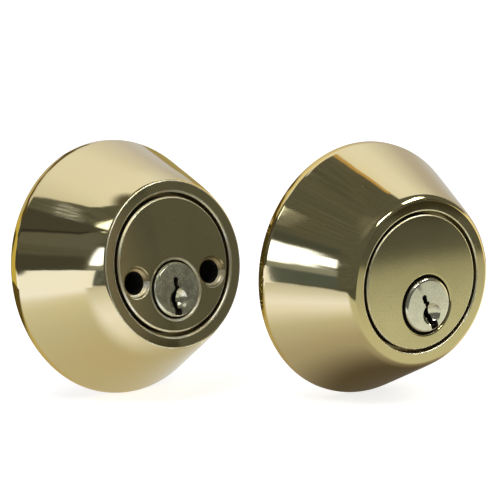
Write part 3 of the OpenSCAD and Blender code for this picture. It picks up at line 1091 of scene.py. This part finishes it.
# The floor is plain and pale to the camera. The brass mirrors these tones; places are in metres.
ground = {
    "radius": 3.0,
    "inset": 0.5,  # of its radius
    "shown": 0.78,  # how strongly it glows by itself
    "cloth": (0.8, 0.8, 0.8),
    # two rows of tones along x, painted light and shade that darken round each half: the outside half mirrors most
    # of the near one, the inside half of the far
    "start": -0.24,
    "length": 0.34,
    "near": [(0.029, (0.54, 0.57, 0.66)), (0.088, (0.79, 0.83, 0.94)), (0.206, (0.92, 0.94, 1.07)),
        (0.324, (1.04, 1.08, 1.25)), (0.382, (1.20, 1.24, 1.55)), (0.441, (1.33, 1.37, 1.76)),
        (0.5, (1.20, 1.21, 1.40)), (0.559, (0.82, 0.80, 0.75)), (0.618, (0.60, 0.55, 0.49)),
        (0.70, (0.50, 0.46, 0.40)), (0.76, (0.50, 0.46, 0.40)), (0.83, (1.1, 1.05, 0.9)),
        (1.0, (1.5, 1.45, 1.3))],
    "far": [(0.029, (1.43, 1.52, 2.1)), (0.147, (1.40, 1.48, 2.0)), (0.206, (1.29, 1.34, 1.74)),
        (0.265, (1.08, 1.09, 1.18)), (0.324, (0.96, 0.96, 0.94)), (0.382, (0.89, 0.88, 0.83)),
        (0.441, (0.81, 0.79, 0.72)), (0.5, (0.75, 0.70, 0.59)), (0.559, (0.72, 0.66, 0.53)),
        (0.618, (0.69, 0.68, 0.62)), (0.76, (0.9, 0.88, 0.8)), (1.0, (1.5, 1.45, 1.3))],
    "farFrom": (0.012, 0.020),  # y where the far row takes over
    # well in front of the halves the floor is even, and darker towards its front edge
    "front": ((0.53, 0.53, 0.45), (0.79, 0.81, 0.69)),
    "frontFade": (-0.178, -0.10),
    "frontFrom": (-0.060, -0.030),
    "behind": (0.16, 0.13, 0.06),  # well behind them it is dark
    "behindFrom": (0.050, 0.066),
    # the shadow under the outside half: its place, and where it starts and stops fading
    "foot": (0.002, -0.008, 0.0),
    "footFade": (0.010, 0.032),
    "footTone": (0.13, 0.105, 0.075),
    # past its front and left edges the brass sees the dark cloth
    "frontEdge": (-0.1800, -0.1680),
    "leftEdge": (0.118, 0.136),
    "leftLean": (-0.6, -0.8),  # which way the left edge faces
}


def floorFinish():
    material, finish = newFinish("paleFloor")
    mirrored = finish.node("ShaderNodeLightPath", {}, {}, "Is Glossy Ray")
    place = finish.place()
    x, y, z = finish.split(place)
    share = (x - ground["start"]) / ground["length"]
    tone = finish.blend(finish.ease(y, *ground["farFrom"]), finish.ramp(ground["near"], share),
        finish.ramp(ground["far"], share))
    edgeTone, evenTone = ground["front"]
    front = finish.blend(finish.ease(y, *ground["frontFade"]), edgeTone, evenTone)
    tone = finish.blend(finish.ease(y, *ground["frontFrom"]), front, tone)
    tone = finish.blend(finish.ease(y, *ground["behindFrom"]), tone, ground["behind"])
    away = finish.node("ShaderNodeVectorMath", {"operation": "DISTANCE"},
        {0: place, 1: ground["foot"]}, "Value")
    tone = finish.blend(finish.ease(away, *ground["footFade"]), ground["footTone"], tone)
    leanX, leanY = ground["leftLean"]
    leftEdge = 1 - finish.ease(x * leanX + y * leanY, *ground["leftEdge"])
    inside = finish.ease(y, *ground["frontEdge"]) * leftEdge
    bounce = finish.glow(finish.blend(inside, tent["dark"], tone))
    seen = finish.glow((1, 1, 1), ground["shown"])
    cloth = finish.node("ShaderNodeBsdfDiffuse", {}, {"Color": ground["cloth"]})
    shown = finish.node("ShaderNodeAddShader", {}, {0: seen, 1: cloth})
    finish.surface(finish.node("ShaderNodeMixShader", {}, {0: mirrored, 1: shown, 2: bounce}))
    material.cycles.emission_sampling = "NONE"
    return material


def makeFloor():
    clearSelection()
    bpy.ops.mesh.primitive_circle_add(vertices=96, radius=ground["radius"], fill_type="NGON",
        location=(0, 0, cadBox[0].z), enter_editmode=True)
    floor = bpy.context.object
    floor.name = "floor"
    bpy.ops.mesh.inset(thickness=ground["radius"] * ground["inset"])
    bpy.ops.object.mode_set(mode="OBJECT")
    floor.data.materials.append(floorFinish())


# Cards that only the brass sees, standing on the floor: start, end and top in metres
cards = {
    # between the halves, so that neither shows in the other; its front side is clear
    "flag": {
        "start": (-0.0355, -0.0053), "end": (-0.0160, 0.0360), "top": 0.045,
        "dark": (0.145, 0.145, 0.13),
        "gold": (1.2, 0.95, 0.5),  # its back end
        "goldFrom": (0.0, 0.006),
        "paper": (0.95, 0.93, 0.85),  # its foot
        "paperFrom": (-0.028, -0.033),
    },
    # pale, left of the inside half
    "fill": {
        "start": (-0.2, 0.0085), "end": (-0.2, 0.046), "top": 0.010,
        "pale": (1.40, 1.48, 1.95),
    },
}


def cardFinish(name):
    card = cards[name]
    material, finish = newFinish(name + "Cloth")
    material.cycles.emission_sampling = "NONE"
    if "pale" in card:
        finish.surface(finish.glow(card["pale"]))
        return material
    # the card is drawn flat: x runs along it and y up it
    back = finish.node("ShaderNodeNewGeometry", {}, {}, "Backfacing")
    x, y, z = finish.split(finish.place())
    tone = finish.blend(finish.ease(x, *card["goldFrom"]), card["dark"], card["gold"])
    tone = finish.blend(finish.ease(y, *card["paperFrom"]), tone, card["paper"])
    clear = finish.node("ShaderNodeBsdfTransparent")
    finish.surface(finish.node("ShaderNodeMixShader", {}, {0: back, 1: clear, 2: finish.glow(tone)}))
    return material


def makeCard(name):
    startX, startY = cards[name]["start"]
    endX, endY = cards[name]["end"]
    low = cadBox[0].z
    high = cards[name]["top"]
    along = Vector((endX - startX, endY - startY, 0))
    clearSelection()
    bpy.ops.mesh.primitive_plane_add(size=1, location=(0, 0, 0), enter_editmode=True)
    card = bpy.context.object
    card.name = name
    bpy.ops.transform.resize(value=(along.length, high - low, 1))
    bpy.ops.mesh.subdivide(number_cuts=2)
    bpy.ops.object.mode_set(mode="OBJECT")
    card.rotation_euler = (math.pi / 2, 0, math.atan2(along.y, along.x))
    card.location = ((startX + endX) / 2, (startY + endY) / 2, (low + high) / 2)
    card.data.materials.append(cardFinish(name))
    onlyMirrored(card)


# White to the camera and in the brass, and a weaker white light on everything else
def makeWorld():
    world = bpy.data.worlds.new("studio")
    bpy.context.scene.world = world
    finish = Finish(world)
    camera, mirrored, through = finish.node("ShaderNodeLightPath", {}, {},
        ("Is Camera Ray", "Is Glossy Ray", "Is Transmission Ray"))
    white = finish.node("ShaderNodeBackground", {}, {"Color": (1, 1, 1), "Strength": 1.0})
    soft = finish.node("ShaderNodeBackground", {}, {"Color": (1, 1, 1), "Strength": 0.25})
    sky = finish.node("ShaderNodeMixShader", {}, {0: camera + mirrored + through, 1: soft, 2: white})
    finish.node("ShaderNodeOutputWorld", {}, {"Surface": sky})


# Square lamps that point at the origin: place, watts and width
lamps = {
    "keyLamp": ((-0.7, -0.4, 1.4), 9.0, 0.8),
    "fillLamp": ((0.8, -0.8, 1.2), 6.0, 0.9),
}


def makeLamp(name):
    place, power, width = lamps[name]
    clearSelection()
    bpy.ops.object.light_add(type="AREA", location=place)
    lamp = bpy.context.object
    lamp.name = name
    lamp.data.energy = power
    lamp.data.size = width
    lamp.rotation_euler = (Vector(place) * -1).to_track_quat("-Z", "Y").to_euler()


# The camera looks at the middle between the halves, moved a little to the right and up
view = {
    "lens": 432.0,
    "distance": 1.54,
    "azimuth": -37.2,
    "elevation": 11.2,
    "right": 0.0037,
    "up": 0.0042,
    "clip": (0.05, 20),
}


def makeCamera():
    clearSelection()
    bpy.ops.object.camera_add()
    camera = bpy.context.object
    camera.name = "camera"
    azimuth = math.radians(view["azimuth"])
    elevation = math.radians(view["elevation"])
    level = math.cos(elevation)
    back = Vector((math.sin(azimuth) * level, -math.cos(azimuth) * level, math.sin(elevation)))
    right = Vector((math.cos(azimuth), math.sin(azimuth), 0))
    up = back.cross(right)
    middle = (halves["outside"].to_translation() + halves["inside"].to_translation()) / 2
    camera.location = middle + back * view["distance"] + right * view["right"] + up * view["up"]
    camera.rotation_euler = (-back).to_track_quat("-Z", "Y").to_euler()
    camera.data.lens = view["lens"]
    camera.data.clip_start, camera.data.clip_end = view["clip"]
    bpy.context.scene.camera = camera


makeTent()
for name in cards:
    makeCard(name)
makeFloor()
makeWorld()
for name in lamps:
    makeLamp(name)
makeCamera()
bpy.context.scene.view_settings.view_transform = "Standard"
print("stage made")
